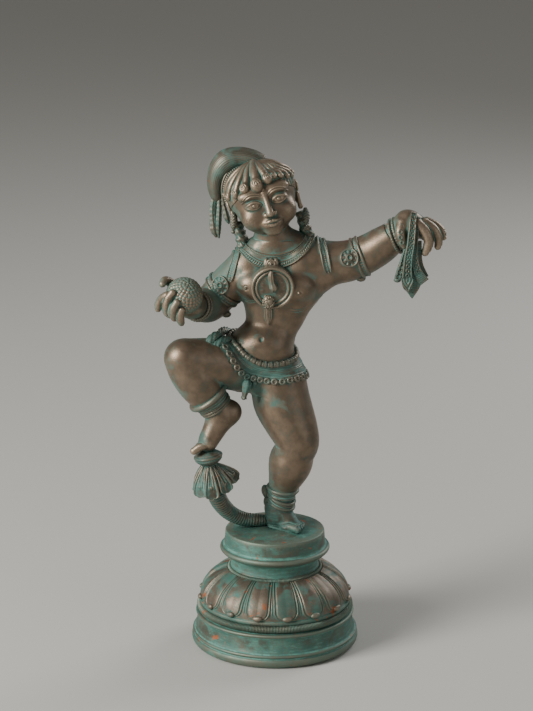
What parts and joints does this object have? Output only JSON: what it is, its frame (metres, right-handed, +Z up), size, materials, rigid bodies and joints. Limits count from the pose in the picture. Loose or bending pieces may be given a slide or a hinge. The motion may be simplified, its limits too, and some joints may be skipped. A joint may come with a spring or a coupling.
{
  "type": "dancing figure statue",
  "caption": "Dancing child figure with a butter ball on a round lotus pedestal, one foot raised on a bud support, in patinated bronze.",
  "frame": {"origin": "on the pedestal's vertical axis, in the plane of the base rim that the statue stands on", "axes": "+Z up, the figure faces -Y, its left arm reaches towards +X"},
  "size_m": [0.1978, 0.1206, 0.36],
  "materials": {
    "brown_bronze": "cast and chased bronze with a warm brown patina, worn brighter on the high places and dusted with verdigris in the recesses",
    "verdigris_bronze": "cast bronze with a blue-green verdigris patina over brown, with copper-coloured rubbed patches",
    "fastener_brass": "plain turned brass, inside the base"
  },
  "bodies": {
    "root": {"bead_row": "verdigris_bronze", "butter_ball": "brown_bronze", "forehead_curls": "brown_bronze", "hair_bun": "verdigris_bronze", "hand_cloth": "verdigris_bronze", "head": "brown_bronze", "hip_cloth": "verdigris_bronze", "hip_knot": "verdigris_bronze", "left_arm": "brown_bronze", "left_armlet": "verdigris_bronze", "left_bracelet": "verdigris_bronze", "left_earring": "verdigris_bronze", "left_hair_lock": "verdigris_bronze", "left_hand": "brown_bronze", "left_shoulder_strap": "verdigris_bronze", "loin_tassel": "verdigris_bronze", "lotus_petals": "verdigris_bronze", "lower_rope_ring": "verdigris_bronze", "necklace": "verdigris_bronze", "pedestal_base": "verdigris_bronze", "pedestal_drum": "verdigris_bronze", "pendant": "verdigris_bronze", "petal_skirt": "verdigris_bronze", "raised_anklet": "verdigris_bronze", "raised_foot": "brown_bronze", "raised_leg": "brown_bronze", "right_arm": "brown_bronze", "right_armlet": "verdigris_bronze", "right_bracelet": "verdigris_bronze", "right_earring": "verdigris_bronze", "right_hair_lock": "verdigris_bronze", "right_hand": "brown_bronze", "right_shoulder_strap": "verdigris_bronze", "side_tassel": "verdigris_bronze", "standing_anklet": "verdigris_bronze", "standing_foot": "verdigris_bronze", "standing_leg": "brown_bronze", "support_bud": "verdigris_bronze", "support_stem": "verdigris_bronze", "tenon_nut": "fastener_brass", "tenon_washer": "fastener_brass", "torso": "brown_bronze", "upper_rope_ring": "verdigris_bronze", "waist_girdle": "verdigris_bronze"}
  },
  "joints": []
}
